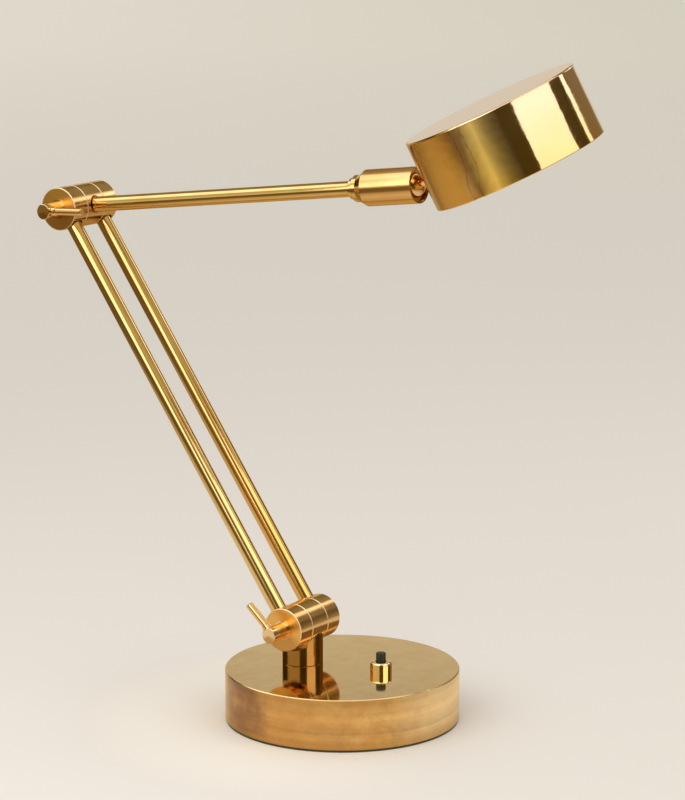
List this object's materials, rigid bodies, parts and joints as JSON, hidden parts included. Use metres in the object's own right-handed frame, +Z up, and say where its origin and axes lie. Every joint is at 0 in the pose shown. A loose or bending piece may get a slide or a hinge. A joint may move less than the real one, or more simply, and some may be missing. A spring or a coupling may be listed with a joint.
{
  "type": "desk lamp",
  "caption": "Brass desk lamp with a round weighted base, swivelling post, twin-tube lower arm, single-tube upper arm, clamp levers and a drum shade on a ball joint.",
  "frame": {"origin": "centre of the underside of the base, on the desk", "axes": "+Z up, arms in a plane parallel to XZ with the shade towards +X, clamp levers on the -Y side"},
  "size_m": [0.3949, 0.15, 0.4254],
  "materials": {
    "polished_brass": "mirror polished, lightly aged",
    "satin_brass": "fine turned satin, aged",
    "steel": "zinc plated",
    "iron": "painted casting",
    "felt": "green felt",
    "black_plastic": "moulded, satin",
    "fibre": "vulcanised fibre",
    "sheath": "soft sheath",
    "white_holder": "glazed",
    "opal_glass": "opal"
  },
  "bodies": {
    "base": {"base_shell": "satin_brass", "felt_pad": "felt", "base_weight": "iron", "base_cover": "steel", "cover_screws": "steel", "cord_inlet": "black_plastic", "switch_body": "black_plastic", "switch_bush": "polished_brass", "pivot_bush": "satin_brass", "base_lead": "sheath"},
    "button": {"switch_button": "black_plastic"},
    "post": {"post": "polished_brass", "post_knuckle": "satin_brass", "pivot_washer": "fibre", "pivot_nut": "steel", "post_lead": "sheath"},
    "lower_arm": {"lower_front_disc": "satin_brass", "lower_rear_disc": "satin_brass", "upper_front_disc": "satin_brass", "upper_rear_disc": "satin_brass", "front_arm_tube": "polished_brass", "rear_arm_tube": "polished_brass", "lower_friction_washers": "fibre", "upper_friction_washers": "fibre", "lower_arm_lead": "sheath"},
    "lower_clamp": {"lower_clamp_screw": "satin_brass", "lower_clamp_washer": "satin_brass", "lower_clamp_rod": "polished_brass"},
    "upper_clamp": {"upper_clamp_screw": "satin_brass", "upper_clamp_washer": "satin_brass", "upper_clamp_rod": "polished_brass"},
    "upper_arm": {"upper_knuckle": "satin_brass", "upper_arm_tube": "polished_brass", "neck_collar": "polished_brass", "ball_sleeve": "polished_brass", "retaining_ring": "satin_brass", "disc_springs": "steel", "upper_arm_lead": "sheath"},
    "friction_cup": {"friction_cup": "black_plastic"},
    "ball_stud": {"ball_stud": "polished_brass", "stud_lead": "sheath"},
    "shade": {"shade": "polished_brass", "outer_saddle": "polished_brass", "inner_saddle": "steel", "shade_nut": "steel", "lampholder": "white_holder", "bulb_cap": "steel", "bulb_glass": "opal_glass"}
  },
  "joints": [
    {"name": "switch_push", "type": "slide", "parent": "base", "child": "button", "axis": [0, 0, 1], "range_m": [-0.003, 0], "stiffness_N_per_m": 300, "springref_m": 0.003},
    {"name": "post_swivel", "type": "hinge", "parent": "base", "child": "post", "pos_m": [-0.02769, -0.00419, 0.0336], "axis": [0, 0, 1], "range_deg": [-141, 159]},
    {"name": "lower_arm_hinge", "type": "hinge", "parent": "post", "child": "lower_arm", "pos_m": [-0.02769, -0.00419, 0.0596], "axis": [0, -1, 0], "range_deg": [-35, 40]},
    {"name": "lower_clamp_turn", "type": "hinge", "parent": "lower_arm", "child": "lower_clamp", "pos_m": [-0.02769, -0.00419, 0.0596], "axis": [0, -1, 0], "range_deg": [0, 150]},
    {"name": "upper_clamp_turn", "type": "hinge", "parent": "lower_arm", "child": "upper_clamp", "pos_m": [-0.20289, -0.00419, 0.31643], "axis": [0, -1, 0], "range_deg": [0, 150]},
    {"name": "upper_arm_hinge", "type": "hinge", "parent": "lower_arm", "child": "upper_arm", "pos_m": [-0.20289, -0.00419, 0.31643], "axis": [0, -1, 0], "range_deg": [-25, 50]},
    {"name": "head_roll", "type": "hinge", "parent": "upper_arm", "child": "friction_cup", "pos_m": [0.05369, -0.00419, 0.34794], "axis": [0.9925, 0, 0.1219], "range_deg": [-90, 90]},
    {"name": "head_tilt", "type": "hinge", "parent": "friction_cup", "child": "ball_stud", "pos_m": [0.05369, -0.00419, 0.34794], "axis": [0, -1, 0], "range_deg": [-57, 25]},
    {"name": "shade_twist", "type": "hinge", "parent": "ball_stud", "child": "shade", "pos_m": [0.05369, -0.00419, 0.34794], "axis": [0.9191, 0, 0.3939], "range_deg": [-120, 120]}
  ]
}
